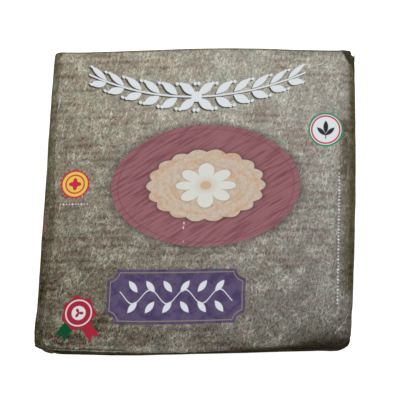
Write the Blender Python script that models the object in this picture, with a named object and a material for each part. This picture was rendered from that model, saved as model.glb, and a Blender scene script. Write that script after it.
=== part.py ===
"""A whole square taleggio shut in its printed paper wrap, in metres.

The pack lies flat, with +X to its right, +Y to its back and +Z up, and its origin in the middle of
its base. It is one solid: soft cheese in tight paper, closed like a parcel. The sheet comes down over
the front and the back and turns in round the upright corners as tucks. Over the tucks, at the left
and the right end, a flap comes down from the top, narrowing at 45 degrees from corner to corner.
"""

import math
from collections import namedtuple

import bmesh
import bpy
from mathutils import Vector

# Driving dimensions of the block, before its faces bulge
WIDTH = 0.1960
DEPTH = 0.1935
HEIGHT = 0.0510
HALF = Vector((WIDTH / 2, DEPTH / 2, HEIGHT / 2))

# A pressed cheese isn't quite square: its front edge lies this far to the left of its back edge
LEAN = 0.0090

# How far each face of the soft cheese bellies out, where along the face it does so most, from -1 at
# the face's left or front end to 1 at its right or back end, and how much it keeps to that place
Belly = namedtuple("Belly", "out at power")
LEFT_BELLY = Belly(0.0006, -0.20, 1.0)
RIGHT_BELLY = Belly(0.0022, 0.10, 1.2)
BACK_BELLY = Belly(0.0024, 0.14, 2.2)
FRONT_TOP_BELLY = Belly(0.0015, 0.22, 2.5)
FRONT_LOW_BELLY = Belly(0.0013, -0.45, 2.0)
FRONT_LOW_SLANT = 0.0004
TOP_PILLOW = 0.0016

# The top is uneven by waves this high, each with its turns in radians from the middle to the right
# end and from the middle to the back, and its start
UNEVEN = 0.00035
WAVES = ((2.1, -2.6, 1.1), (2.1, 2.6, 0.3), (1.9, 4.3, 0.0))

# The front left corner has spread under the cheese's weight, most at this place along the left end
CORNER_SPREAD = 0.0014
CORNER_SPREAD_AT = -0.86
CORNER_SPREAD_REACH = 0.10

# The front right corner is pushed in beyond this place along the right end, over this share of it
CORNER_DENT = 0.0010
CORNER_DENT_AT = -0.70
CORNER_DENT_REACH = 0.09

# The flaps of the folded ends, and the ear that one of them leaves at the back right corner
FLAP_LIFT = 0.0009
FLAP_EDGE = 0.0009
FLAP_START = 0.0100
FLAP_END = 0.0045
EAR_LIFT = 0.0011
EAR_REACH = 0.0040
EAR_START = 0.0036

# How much of its rounding an edge keeps at the base, where the cheese's weight presses it square
BASE_SHARE = 0.45

# Cuts across a rounded edge, as shares of its reach, and the widest spacing of the cuts elsewhere
EDGE_CUTS = (0.0, 0.25, 0.45, 0.62, 0.78, 0.9, 1.0)
WIDEST_CUT = 0.0105
SNAP = 0.00012

# How far the rounding of the top edges reaches in from the sharp block at each upright corner, and
# the power of the corner's curve seen from above: 1 cuts it off straight, 2 rounds it, more squares it
Corner = namedtuple("Corner", "x y z power")
CORNERS = {
    (-1, 1): Corner(0.0080, 0.0035, 0.0055, 4.0),
    (1, 1): Corner(0.0080, 0.0058, 0.0060, 1.6),
    (-1, -1): Corner(0.0100, 0.0032, 0.0045, 1.1),
    (1, -1): Corner(0.0080, 0.0082, 0.0080, 2.6),
}

# Where along the front and back, from -1 to 1, the left corners' rounding starts to turn into the right
CORNER_TURN = 0.05

PAPER_COLOUR = (0.205, 0.181, 0.138, 1.0)
PAPER_ROUGHNESS = 0.5


def smooth(share):
    """0 to 1 with level ends, for a share clamped to 0 and 1."""
    share = min(1.0, max(0.0, share))
    return share * share * (3 - 2 * share)


def stations(half, reach):
    """Where the block is cut along one axis: close together in the rounded edges, even between."""
    inner = half - reach
    count = math.ceil(2 * inner / WIDEST_CUT)
    even = [-inner + 2 * inner * i / count for i in range(count + 1)]
    edge = [inner + reach * share for share in EDGE_CUTS[1:-1]]
    return sorted(even + edge + [-at for at in edge])


def corner_at(nx, ny):
    """The rounding at a place on the block, between those of its four corners."""
    mixed = [0.0] * len(Corner._fields)
    right = smooth((nx - CORNER_TURN) / (1 - CORNER_TURN))
    for (side_x, side_y), corner in CORNERS.items():
        share_x = right if side_x > 0 else 1 - right
        share = share_x * smooth((1 + side_y * ny) / 2)
        mixed = [total + share * value for total, value in zip(mixed, corner)]
    return Corner(*mixed)


def rounded(point):
    """Moves a point of the sharp block onto the rounded one."""
    nx, ny, nz = (point[axis] / HALF[axis] for axis in range(3))
    corner = corner_at(nx, ny)
    keep = BASE_SHARE + (1 - BASE_SHARE) * smooth((1 + nz) / 2)
    reach = [size * keep for size in corner[:3]]
    inner = [max(-HALF[a] + reach[a], min(HALF[a] - reach[a], point[a])) for a in range(3)]
    away = [(point[a] - inner[a]) / reach[a] for a in range(3)]
    level = (abs(away[0]) ** corner.power + abs(away[1]) ** corner.power) ** (1 / corner.power)
    length = math.hypot(level, away[2])
    if length == 0:
        return point.copy()
    return Vector(inner[a] + reach[a] * away[a] / length for a in range(3))


def arch(along, belly):
    """A belly's depth at a place along its face: none at the ends, most at the belly's own place."""
    reach = 1 + belly.at if along < belly.at else 1 - belly.at
    away = min(1.0, abs(along - belly.at) / reach)
    return belly.out * math.cos(math.pi / 2 * away) ** belly.power


def bellied(point, at):
    """Lets the faces of a soft cheese belly out, from where a point lies on the sharp block."""
    nx, ny, nz = (at[axis] / HALF[axis] for axis in range(3))
    round_z = 1 - nz * nz
    to_right, to_back, to_top = smooth(nx), smooth(ny), smooth((1 + nz) / 2)
    to_left, to_front = smooth(-nx), smooth(-ny)
    spread = math.exp(-(((ny - CORNER_SPREAD_AT) / CORNER_SPREAD_REACH) ** 2))
    left = arch(ny, LEFT_BELLY) * round_z + CORNER_SPREAD * spread
    dent = CORNER_DENT * smooth((CORNER_DENT_AT - ny) / CORNER_DENT_REACH)
    right = arch(ny, RIGHT_BELLY) * round_z - dent
    out_x = to_right * right - to_left * left
    low = arch(nx, FRONT_LOW_BELLY) - FRONT_LOW_SLANT * (1 + nx) / 2
    front = to_top * arch(nx, FRONT_TOP_BELLY) + (1 - to_top) * low
    out_y = to_back * arch(nx, BACK_BELLY) - to_front * front
    waves = sum(math.sin(in_x * nx + in_y * ny + start) for in_x, in_y, start in WAVES)
    out_z = smooth(nz) * (TOP_PILLOW * (1 - nx * nx) * (1 - ny * ny) + UNEVEN * waves)
    lean = LEAN / 2 * ny
    return point + Vector((out_x + lean, out_y, out_z))


def flap_lift(at):
    """How far the flap of a folded end stands out at a point of that end."""
    depth = HALF.z - at.z
    inside = HALF.y - abs(at.y) - depth
    edge = min(1.0, max(0.0, inside / FLAP_EDGE))
    lift = FLAP_LIFT * smooth(depth / FLAP_START) * smooth((HALF.z + at.z) / FLAP_END)
    if at.x > 0 and at.y > 0:
        away = math.hypot(HALF.y - at.y - EAR_START, depth - EAR_START)
        lift += EAR_LIFT * math.exp(-((away / EAR_REACH) ** 2)) * smooth(depth / EAR_START)
    return edge * lift


def cut(bm, faces, place, normal):
    """Cuts some faces along a plane."""
    edges = {edge for face in faces for edge in face.edges}
    verts = {vert for face in faces for vert in face.verts}
    bmesh.ops.bisect_plane(
        bm, geom=[*verts, *edges, *faces], dist=SNAP, plane_co=place, plane_no=normal
    )


def cut_block(bm):
    """Cuts the sharp block all round at its stations."""
    reach = [max(corner[axis] for corner in CORNERS.values()) for axis in range(3)]
    for axis in range(3):
        normal = Vector((0, 0, 0))
        normal[axis] = 1
        for at in stations(HALF[axis], reach[axis]):
            cut(bm, bm.faces[:], normal * at, normal)


def cut_flaps(bm):
    """Cuts each end along the two 45 degree edges of its flap, twice, for the thickness of the fold."""
    for end in (-1, 1):
        for side in (-1, 1):
            for inset in (0.0, FLAP_EDGE):
                bm.normal_update()
                faces = [face for face in bm.faces if face.normal.x * end > 0.9]
                place = Vector((0, side * (HALF.y - inset), HALF.z))
                cut(bm, faces, place, Vector((0, side, -1)).normalized())


def shape_block(bm):
    """Rounds and bellies the cut block and lifts the flaps of its ends."""
    for vert in bm.verts:
        at = vert.co.copy()
        vert.co = bellied(rounded(at), at)
        if abs(abs(at.x) - HALF.x) < SNAP:
            vert.co.x += math.copysign(flap_lift(at), at.x)


def settle(bm):
    """Moves the pack so that its origin is in the middle of its base, and flattens the base."""
    low = Vector(min(vert.co[axis] for vert in bm.verts) for axis in range(3))
    high = Vector(max(vert.co[axis] for vert in bm.verts) for axis in range(3))
    middle = (low + high) / 2
    for vert in bm.verts:
        vert.co -= Vector((middle.x, middle.y, low.z))


def paper_material():
    """Satin printed paper, brown with an olive cast."""
    material = bpy.data.materials.new("printed_paper")
    material.use_nodes = True
    shader = material.node_tree.nodes["Principled BSDF"]
    shader.inputs["Base Color"].default_value = PAPER_COLOUR
    shader.inputs["Roughness"].default_value = PAPER_ROUGHNESS
    shader.inputs["Metallic"].default_value = 0.0
    return material


def wrapped_cheese():
    """The whole pack as one closed mesh."""
    bm = bmesh.new()
    bmesh.ops.create_cube(bm, size=2)
    bmesh.ops.scale(bm, vec=HALF, verts=bm.verts)
    cut_block(bm)
    cut_flaps(bm)
    shape_block(bm)
    settle(bm)
    bmesh.ops.triangulate(bm, faces=bm.faces)
    mesh = bpy.data.meshes.new("wrapped_cheese")
    bm.to_mesh(mesh)
    bm.free()
    mesh.shade_smooth()
    mesh.set_sharp_from_angle(angle=math.radians(40))
    mesh.materials.append(paper_material())
    pack = bpy.data.objects.new("wrapped_cheese", mesh)
    bpy.context.scene.collection.objects.link(pack)
    return pack


for old in list(bpy.data.objects):
    bpy.data.objects.remove(old)
wrapped_cheese()
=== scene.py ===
"""A whole square taleggio shut in its printed paper wrap, lying flat, in metres, with +Z up.

The wrap is one sheet of brown printed paper. It lies tight over the soft block, goes down over the
front and the back, laps under the base and closes each end with a flap folded at 45 degrees.
"""

import math
from collections import namedtuple

import bpy
from mathutils import Matrix, Vector


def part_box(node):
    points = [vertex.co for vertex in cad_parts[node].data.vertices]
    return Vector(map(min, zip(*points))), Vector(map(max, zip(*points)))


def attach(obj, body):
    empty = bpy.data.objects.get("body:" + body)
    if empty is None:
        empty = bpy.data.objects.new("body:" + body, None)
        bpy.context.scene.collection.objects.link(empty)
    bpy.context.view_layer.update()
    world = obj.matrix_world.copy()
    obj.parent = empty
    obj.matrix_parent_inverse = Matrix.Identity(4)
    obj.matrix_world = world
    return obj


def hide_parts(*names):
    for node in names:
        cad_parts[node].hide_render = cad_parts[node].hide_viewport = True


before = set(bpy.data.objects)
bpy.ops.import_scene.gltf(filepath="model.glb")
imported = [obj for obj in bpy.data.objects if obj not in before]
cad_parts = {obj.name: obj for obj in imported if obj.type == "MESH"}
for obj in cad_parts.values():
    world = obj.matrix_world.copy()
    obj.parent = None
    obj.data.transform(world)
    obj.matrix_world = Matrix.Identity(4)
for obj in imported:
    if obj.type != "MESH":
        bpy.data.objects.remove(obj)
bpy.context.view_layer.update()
node_low, node_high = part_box("wrapped_cheese")


# The wrap on the block
# One skin of tight printed paper round a pressed block of soft cheese. The weight of the cheese has
# squared its lower edges and bellied its sides. The paper is creased where it was handled.

# The sharp block inside the wrap's shape, and how far left of its back edge its front edge lies
WIDTH = 0.1960
DEPTH = 0.1935
HEIGHT = 0.0510
LEAN = 0.0090

# Where along it the left corners' rounding starts to turn into the right corners', and how much of
# its rounding an edge keeps at the base
CORNER_TURN = 0.05
BASE_SHARE = 0.60

# How far each upright corner's rounding reaches in along x, y and z, and its curve's power: 1 cuts
# the corner off, 2 rounds it, more squares it
CORNERS = {
    (-1, 1): (0.0080, 0.0035, 0.0055, 4.0),
    (1, 1): (0.0070, 0.0042, 0.0055, 5.5),
    (-1, -1): (0.0130, 0.0031, 0.0045, 1.15),
    (1, -1): (0.0080, 0.0076, 0.0085, 2.8),
}

# A belly's depth is an input of the tree. It lies at this share of its face, with this power.
Belly = namedtuple("Belly", "name at power")
LEFT_BELLY = Belly("Left belly", -0.20, 1.0)
RIGHT_BELLY = Belly("Right belly", 0.10, 1.2)
BACK_BELLY = Belly("Back belly", 0.14, 2.2)
FRONT_TOP_BELLY = Belly("Front top belly", -0.28, 2.0)
FRONT_LOW_BELLY = Belly("Front low belly", -0.45, 2.0)

# The top's waves: their turns in radians to the right and to the back, and their start
WAVES = ((2.1, -2.6, 1.1), (2.1, 2.6, 0.3), (1.9, 4.3, 0.0))

# Where the front left corner has spread, the front right one is pushed in, the front is dented, the
# base is hollow and the back right corner is drawn in, as shares from the middle
SPREAD_AT = -0.86
SPREAD_REACH = 0.10
DENT_AT = -0.70
DENT_REACH = 0.09
FRONT_DENT_AT = -0.93
FRONT_DENT_REACH = 0.035
HOLLOW_RIM = (-0.90, -1.0)
TUCK_RIGHT = (0.80, 1.0)
TUCK_BACK = (0.945, 0.970)

# The widths of the lumps and of the crumpled folds, how steep those are, how far in from an upright
# corner the paper is crumpled, and by how much a crease fades out past its half width
LUMP_WIDTH = 0.028
CRUMPLE_WIDTH = 0.011
CRUMPLE_SLOPE = 5
CRUMPLED = (0.020, 0.002)
CREASE_FADE = 1.6

# How near to a face of the sharp block a point counts as on it, and the least length to divide by
ON_FACE = 0.0001
LEAST = 1e-6

BLOCK_SIZES = {
    "Width": WIDTH,
    "Depth": DEPTH,
    "Height": HEIGHT,
    "Lean": LEAN,
    "Left belly": 0.0006,
    "Right belly": 0.0022,
    "Back belly": 0.0024,
    "Front top belly": 0.0023,
    "Front low belly": 0.0013,
    "Front slant": 0.0004,
    "Top pillow": 0.0016,
    "Unevenness": 0.00035,
    "Corner spread": 0.0010,
    "Corner dent": 0.0006,
    "Front dent": 0.0006,
    "Corner tuck": 0.0021,
    "Ear": 0.0006,
    "Lumps": 0.00035,
    "Crumple": 0.0007,
    "Crease": 0.00028,
    "Base hollow": 0.0006,
    "Lap": 0.00025,
}

# How finely the skin is cut, and how much its lines crowd towards the edges
ACROSS = 168
ALONG = 166
UP = 40
EDGE_CROWDING = 0.5

# Where the two ends of the sheet meet under the base, and how near to the flap's edge the paper of
# an end counts as a tuck
LAP_AT = 0.012
FLAP_MARGIN = 0.0016

# Creases of handling, on the unfolded sheet: from, to, half width and how much of their ink is
# rubbed off, where less than 0 is how dark the painted shade in them is instead
CREASES = (
    ((-0.0908, 0.0690), (-0.0935, 0.0560), 0.00045, 0.9),
    ((-0.0935, 0.0560), (-0.0960, 0.0300), 0.0005, 0.35),
    ((0.0895, 0.0350), (0.0900, 0.0180), 0.0005, 0.5),
    ((0.0985, -0.0760), (0.0880, -0.0870), 0.0006, 0.8),
    ((-0.0925, -0.0900), (-0.0905, -0.0930), 0.0011, 0.65),
    ((-0.0915, -0.0935), (-0.0870, -0.0962), 0.0011, -0.9),
    ((-0.0880, -0.0967), (-0.0440, -0.0966), 0.0005, 0.9),
    ((-0.0440, -0.0972), (0.0260, -0.0966), 0.0004, 0.4),
    ((-0.0870, -0.0952), (-0.0430, -0.0948), 0.0008, -0.75),
    ((-0.0760, -0.0950), (-0.0700, -0.0945), 0.0006, 0.8),
    ((0.0920, 0.0909), (0.0952, 0.0873), 0.0012, -0.9),
    ((-0.0962, 0.0950), (-0.0930, 0.0936), 0.0006, -0.7),
    ((-0.0930, 0.0910), (-0.0800, 0.0850), 0.0005, 0.25),
    ((0.0300, 0.0930), (0.0440, 0.0780), 0.0004, 0.2),
    ((0.0180, -0.0350), (0.0420, -0.0520), 0.0004, 0.25),
)


def operator(operation, reflected=False):
    """A method of Value that stands for one of Python's operators and adds a Math node."""

    def method(self, other):
        return self.math(operation, *((other, self) if reflected else (self, other)))

    return method


class Value:
    """One socket of a node tree. Python's operators on it add Math nodes."""

    def __init__(self, tree, socket=None):
        self.tree = tree
        self.socket = socket

    def make(self, kind, settings=None, sockets=None, out=0):
        """Adds any node: its type, settings, sockets' values or links, and the output to read."""
        node = self.tree.nodes.new(kind)
        for name, setting in (settings or {}).items():
            setattr(node, name, setting)
        for key, value in (sockets or {}).items():
            socket = found(node.inputs, key)
            if isinstance(value, Value):
                self.tree.links.new(value.socket, socket)
            else:
                socket.default_value = value
        return Value(self.tree, found(node.outputs, out) if node.outputs else None)

    def math(self, operation, *values):
        return self.make("ShaderNodeMath", {"operation": operation}, dict(enumerate(values)))

    def through(self, operation):
        """The value put through a Math operation that takes one, such as its sine."""
        return self.math(operation, self)

    def __neg__(self):
        return self * -1.0

    def __abs__(self):
        return self.through("ABSOLUTE")

    __add__ = operator("ADD")
    __radd__ = operator("ADD", reflected=True)
    __sub__ = operator("SUBTRACT")
    __rsub__ = operator("SUBTRACT", reflected=True)
    __mul__ = operator("MULTIPLY")
    __rmul__ = operator("MULTIPLY", reflected=True)
    __truediv__ = operator("DIVIDE")
    __rtruediv__ = operator("DIVIDE", reflected=True)
    __pow__ = operator("POWER")
    __lt__ = operator("LESS_THAN")
    __gt__ = operator("GREATER_THAN")


def found(sockets, key):
    """A socket by its number, or the first one in use that has the name."""
    if isinstance(key, int):
        return sockets[key]
    return next(socket for socket in sockets if socket.enabled and socket.name == key)


def smaller(first, second):
    return first.math("MINIMUM", first, second)


def larger(first, second):
    return first.math("MAXIMUM", first, second)


def hypot(first, second):
    return (first * first + second * second).through("SQRT")


def bell(away):
    """1 in the middle and less and less further off, after a bell curve."""
    return (-(away * away)).through("EXPONENT")


def smooth(value, low=0.0, high=1.0):
    """0 at low and 1 at high with level ends, whichever of the two is the larger."""
    ends = {"Value": value, "From Min": low, "From Max": high}
    return value.make("ShaderNodeMapRange", {"interpolation_type": "SMOOTHSTEP"}, ends)


def parted(vector):
    """The three parts of a vector."""
    separate = vector.make("ShaderNodeSeparateXYZ", {}, {0: vector})
    outputs = separate.socket.node.outputs
    return [Value(vector.tree, output) for output in outputs]


def joined(x, y, z):
    """A vector of three values, the first of which is a Value."""
    return x.make("ShaderNodeCombineXYZ", {}, {0: x, 1: y, 2: z})


def scaled(vector, by):
    """A vector or a colour times a number."""
    return vector.make("ShaderNodeVectorMath", {"operation": "SCALE"}, {0: vector, "Scale": by})


def cloudy(vector, size, detail=1.0, **settings):
    """Noise from 0 to 1 whose patches are about this size."""
    sockets = {"Vector": vector, "Scale": 1 / size, "Detail": detail, "Roughness": 0.55}
    return vector.make("ShaderNodeTexNoise", settings, sockets)


def tree_with(name, sizes):
    """A Geometry Nodes tree with an input for each size, and its sizes as Values by name."""
    tree = bpy.data.node_groups.new(name, "GeometryNodeTree")
    tree.interface.new_socket("Geometry", in_out="OUTPUT", socket_type="NodeSocketGeometry")
    for key in sizes:
        tree.interface.new_socket(key, in_out="INPUT", socket_type="NodeSocketFloat")
    inputs = tree.nodes.new("NodeGroupInput")
    return tree, {key: Value(tree, inputs.outputs[key]) for key in sizes}


def kept(geometry, name, domain, value):
    """Stores a vector on the geometry under a name."""
    settings = {"data_type": "FLOAT_VECTOR", "domain": domain}
    sockets = {"Geometry": geometry, "Name": name, "Value": value}
    return geometry.make("GeometryNodeStoreNamedAttribute", settings, sockets)


def recalled(tree, name):
    """A vector that was stored on the geometry."""
    settings = {"data_type": "FLOAT_VECTOR"}
    return Value(tree).make("GeometryNodeInputNamedAttribute", settings, {"Name": name})


def placed(geometry, at):
    """Moves the points of the geometry to their places."""
    sockets = {"Geometry": geometry, "Position": joined(*at)}
    return geometry.make("GeometryNodeSetPosition", {}, sockets)


def pushed_out(geometry, by):
    """Moves the points of the geometry along their normals."""
    normal = geometry.make("GeometryNodeInputNormal", {}, {}, "Normal")
    sockets = {"Geometry": geometry, "Offset": scaled(normal, by)}
    return geometry.make("GeometryNodeSetPosition", {}, sockets)


def corner_at(nx, ny):
    """The rounding at a place on the block, between those of its four corners."""
    mixed = [0.0] * 4
    right = smooth((nx - CORNER_TURN) / (1 - CORNER_TURN))
    for (side_x, side_y), corner in CORNERS.items():
        share = (right if side_x > 0 else 1 - right) * smooth((1 + side_y * ny) / 2)
        mixed = [total + share * value for total, value in zip(mixed, corner)]
    return mixed


def rounded(at, halves):
    """Where a point of the sharp block lies on the rounded one."""
    nx, ny, nz = (place / half for place, half in zip(at, halves))
    *reach, power = corner_at(nx, ny)
    keep = BASE_SHARE + (1 - BASE_SHARE) * smooth((1 + nz) / 2)
    reach = [size * keep for size in reach]
    inner = [larger(smaller(p, h - r), r - h) for p, h, r in zip(at, halves, reach)]
    away = [(p - i) / r for p, i, r in zip(at, inner, reach)]
    level = (abs(away[0]) ** power + abs(away[1]) ** power) ** (1 / power)
    length = larger(hypot(level, away[2]), LEAST)
    return [i + r * a / length for i, r, a in zip(inner, reach, away)]


def arch(along, belly, size):
    """A belly's depth along its face: none at the ends, most at the belly's own place."""
    before = along < belly.at
    reach = before * (1 + belly.at) + (1 - before) * (1 - belly.at)
    away = smaller(abs(along - belly.at) / reach, 1.0)
    share = larger((away * (math.pi / 2)).through("COSINE"), 0.0)
    return size[belly.name] * share ** belly.power


def bellied(point, at, halves, size):
    """Lets the faces of the soft cheese belly out, from where a point lies on the sharp block."""
    nx, ny, nz = (place / half for place, half in zip(at, halves))
    round_z = 1 - nz * nz
    to_top = smooth((1 + nz) / 2)
    spread = size["Corner spread"] * bell((ny - SPREAD_AT) / SPREAD_REACH)
    left = arch(ny, LEFT_BELLY, size) * round_z + spread
    dent = size["Corner dent"] * smooth((DENT_AT - ny) / DENT_REACH)
    right = arch(ny, RIGHT_BELLY, size) * round_z - dent
    out_x = smooth(nx) * right - smooth(-nx) * left
    low = arch(nx, FRONT_LOW_BELLY, size) - size["Front slant"] * (1 + nx) / 2
    dent = size["Front dent"] * bell((nx - FRONT_DENT_AT) / FRONT_DENT_REACH)
    front = to_top * arch(nx, FRONT_TOP_BELLY, size) + (1 - to_top) * low - dent
    out_y = smooth(ny) * arch(nx, BACK_BELLY, size) - smooth(-ny) * front
    waves = 0.0
    for in_x, in_y, start in WAVES:
        turn = in_x * nx + in_y * ny + start
        waves = waves + turn.through("SINE")
    pillow = size["Top pillow"] * (1 - nx * nx) * (1 - ny * ny) + size["Unevenness"] * waves
    lean = size["Lean"] / 2 * ny
    hollow = size["Base hollow"] * smooth(nz, *HOLLOW_RIM)
    return [point[0] + out_x + lean, point[1] + out_y, point[2] + smooth(nz) * pillow + hollow]


def tucked_in(at, halves, size):
    """How far the back right corner is drawn in behind its flap."""
    nx, ny = at[0] / halves[0], at[1] / halves[1]
    return size["Corner tuck"] * smooth(nx, *TUCK_RIGHT) * smooth(ny, *TUCK_BACK)


def distance_to(u, v, start, end):
    """How far a place on the sheet is from a straight stretch."""
    run = (end[0] - start[0], end[1] - start[1])
    square = run[0] ** 2 + run[1] ** 2
    share = ((u - start[0]) * run[0] + (v - start[1]) * run[1]) / square
    share = larger(smaller(share, 1.0), 0.0)
    return hypot(u - start[0] - share * run[0], v - start[1] - share * run[1])


def creased(u, v, weight):
    """From 0 to 1, how much a place lies in a crease, each of which counts by a weight."""
    total = 0.0
    for start, end, width, wear in CREASES:
        share = weight(wear)
        if share > 0:
            total = total + share * smooth(distance_to(u, v, start, end), width * CREASE_FADE, 0.0)
    return smaller(total, 1.0)


def relief(at, halves, size):
    """How far the paper stands out from the block: soft lumps, crumpled corners and creases."""
    place = joined(*at)
    lumps = size["Lumps"] * (cloudy(place, LUMP_WIDTH) - 0.5) * 2
    off = hypot(halves[0] - abs(at[0]), halves[1] - abs(at[1]))
    folds = 1 - abs(cloudy(place, CRUMPLE_WIDTH, 2.0) - 0.5) * CRUMPLE_SLOPE
    crumple = size["Crumple"] * smooth(off, *CRUMPLED) * (folds - 0.5)
    on_top = at[2] > halves[2] - ON_FACE
    crease = size["Crease"] * creased(at[0], at[1], lambda wear: 1.0) * on_top
    return lumps + crumple - crease


def spread_out(share):
    """Moves the grid's lines of a unit block towards its edges, where the paper bends."""
    return share * (1 - EDGE_CROWDING) + EDGE_CROWDING * (share * (math.pi / 2)).through("SINE")


def sheet_place(tree, at, halves):
    """Where a corner of a face lies on the unfolded sheet, and how far below the top."""
    side = parted(recalled(tree, "side"))
    tucked, front_lap, _ = parted(recalled(tree, "fold"))
    depth = halves[2] - at[2]
    on_end = abs(side[0]) > 0.5
    on_front_or_back = abs(side[1]) > 0.5
    on_base = side[2] < -0.5
    out_of_y = (at[1] > 0.0) * 2 - 1
    end_u = side[0] * (halves[0] + tucked * (halves[1] - abs(at[1])) + (1 - tucked) * depth)
    end_v = tucked * out_of_y * (halves[1] + depth) + (1 - tucked) * at[1]
    base_v = front_lap * (-2 * halves[1] - 2 * halves[2] - at[1])
    base_v = base_v + (1 - front_lap) * (2 * halves[1] + 2 * halves[2] - at[1])
    u = at[0] + on_end * (end_u - at[0])
    v = on_end * end_v + on_front_or_back * side[1] * (halves[1] + depth) + on_base * base_v
    v = v + (side[2] > 0.5) * at[1]
    return joined(u, v, depth)


def wrap_tree(material):
    """Grows the skin of the block from a box of fine squares."""
    tree, size = tree_with("wrap on the block", BLOCK_SIZES)
    halves = [size["Width"] / 2, size["Depth"] / 2, size["Height"] / 2]
    start = Value(tree)
    counts = {"Size": (2.0, 2.0, 2.0), "Vertices X": ACROSS, "Vertices Y": ALONG, "Vertices Z": UP}
    skin = start.make("GeometryNodeMeshCube", {}, counts, "Mesh")
    unit = parted(start.make("GeometryNodeInputPosition"))
    block = [spread_out(share) * half for share, half in zip(unit, halves)]
    skin = placed(skin, block)
    place = start.make("GeometryNodeInputPosition")
    skin = kept(skin, "place", "POINT", place)
    skin = kept(skin, "side", "FACE", start.make("GeometryNodeInputNormal", {}, {}, "Normal"))
    middle = parted(place)
    outside = abs(middle[1]) + halves[2] - middle[2] > halves[1] - FLAP_MARGIN
    skin = kept(skin, "fold", "FACE", joined(outside, middle[1] < LAP_AT, 0.0))
    at = parted(recalled(tree, "place"))
    skin = kept(skin, "sheet", "CORNER", sheet_place(tree, at, halves))
    form = bellied(rounded(at, halves), at, halves, size)
    form[0] = form[0] - tucked_in(at, halves, size)
    lap = parted(recalled(tree, "fold"))[1] * (at[2] < ON_FACE - halves[2])
    form[2] = form[2] - size["Lap"] * lap
    skin = pushed_out(placed(skin, form), relief(at, halves, size))
    return finished(tree, skin, material)


def finished(tree, skin, material):
    """Ends a tree: smooth shading, real geometry and the paper's material."""
    for name in ("side", "fold"):
        skin = skin.make("GeometryNodeRemoveAttribute", {}, {"Geometry": skin, "Name": name})
    skin = skin.make("GeometryNodeSetShadeSmooth", {}, {0: skin})
    skin = skin.make("GeometryNodeRealizeInstances", {}, {0: skin})
    skin = skin.make("GeometryNodeSetMaterial", {}, {"Geometry": skin, "Material": material})
    skin.make("NodeGroupOutput", {}, {"Geometry": skin})
    return tree


def linked(name, data):
    """An object in the scene."""
    piece = bpy.data.objects.new(name, data)
    bpy.context.scene.collection.objects.link(piece)
    return piece


def grown(name, tree, sizes, thickness=0.0):
    """An object with the plain mesh that a tree grows, thickened inwards where asked."""
    piece = linked(name, bpy.data.meshes.new(name))
    growth = piece.modifiers.new("growth", "NODES")
    growth.node_group = tree
    for item in tree.interface.items_tree:
        if item.in_out == "INPUT":
            growth[item.identifier] = sizes[item.name]
    if thickness:
        solid = piece.modifiers.new("thickness", "SOLIDIFY")
        solid.thickness = thickness
        solid.offset = -1.0
    evaluated = piece.evaluated_get(bpy.context.evaluated_depsgraph_get())
    mesh = bpy.data.meshes.new_from_object(evaluated)
    piece.modifiers.clear()
    empty = piece.data
    piece.data = mesh
    bpy.data.meshes.remove(empty)
    mesh.name = name
    return piece


# The printed paper
# Thin waxed paper with the look of brown felt printed all over it. Its ornaments lie on the top in
# white, maroon, cream and purple ink. The ink is rubbed off along creases and folded edges. Light
# and shade are painted over the print: the top is lighter to the back with a painted glow along its
# middle, and painted shade lies along its edges, on the sides, on the front and in some creases.

# How much lighter the studio's light makes the paper, how soft the edge of an ink is, and how much
# of the thinner inks shows
LIGHT_ON_TOP = 1.30
INK_SOFT = 0.00028
RIM_INK = 0.8
DIAMOND_INK = 0.8
PLAQUE_INK = 0.97
VINE_INK = 0.93
FLECK_INK = 0.7
DROP_SHADOW_INK = 0.9


def seen(red, green, blue):
    """The paper's colour where it looks like this in the studio's light, in parts of 255."""
    levels = []
    for part in (red, green, blue):
        level = part / 255
        linear = level / 12.92 if level <= 0.04045 else ((level + 0.055) / 1.055) ** 2.4
        levels.append(linear / LIGHT_ON_TOP)
    return (*levels, 1.0)


WORN = seen(196, 192, 176)
WHITE_INK = seen(231, 236, 240)
SHADOW_INK = seen(58, 56, 54)
MAROON = seen(157, 108, 114)
MAROON_DEEP = seen(128, 78, 86)
TAN = seen(213, 196, 178)
TAN_WARM = seen(214, 180, 150)
CREAM = seen(224, 226, 218)
PURPLE = seen(100, 87, 122)
PURPLE_DEEP = seen(80, 67, 106)
GOLD = seen(150, 138, 110)
YELLOW = seen(238, 205, 92)
RED = seen(205, 52, 78)
WAX_RED = seen(168, 44, 62)
GREEN = seen(52, 150, 104)
RIBBON_GREEN = seen(20, 82, 52)
NAVY = seen(48, 46, 84)
ROSE = seen(190, 122, 128)
CHARCOAL = seen(52, 52, 58)
CHIPPED = seen(222, 206, 210)


def over(under, colour, share):
    """Lays a colour over another, by a share from 0 to 1."""
    sockets = {"Factor": share, "A": under, "B": colour}
    return share.make("ShaderNodeMix", {"data_type": "RGBA"}, sockets, "Result")


def darker(colour, by, share):
    """A colour made darker by a factor for red, green and blue, where the share is 1."""
    settings = {"data_type": "RGBA", "blend_type": "MULTIPLY"}
    return share.make("ShaderNodeMix", settings, {"Factor": share, "A": colour, "B": by}, "Result")


def inked(outside):
    """How much ink lies at a place this far outside a printed shape's outline."""
    return smooth(outside, INK_SOFT, -INK_SOFT)


def vectors(operation, first, second):
    """Two vectors or colours put together by Vector Math."""
    return first.make("ShaderNodeVectorMath", {"operation": operation}, {0: first, 1: second})


def moved(vector, by, amount):
    """A place pushed about by a noise's colour, by at most this much."""
    return vectors("ADD", vector, scaled(vectors("SUBTRACT", by, (0.5, 0.5, 0.5)), 2 * amount))


def stretched(sheet, length, width, turn=0.0, start=(0, 0, 0)):
    """A place on the sheet along turned axes, in lengths and widths of what is drawn there."""
    sockets = {"Vector": sheet, "Location": start, "Rotation": (0, 0, turn)}
    sockets["Scale"] = (length, width, 1)
    return sheet.make("ShaderNodeMapping", {"vector_type": "TEXTURE"}, sockets)


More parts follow.
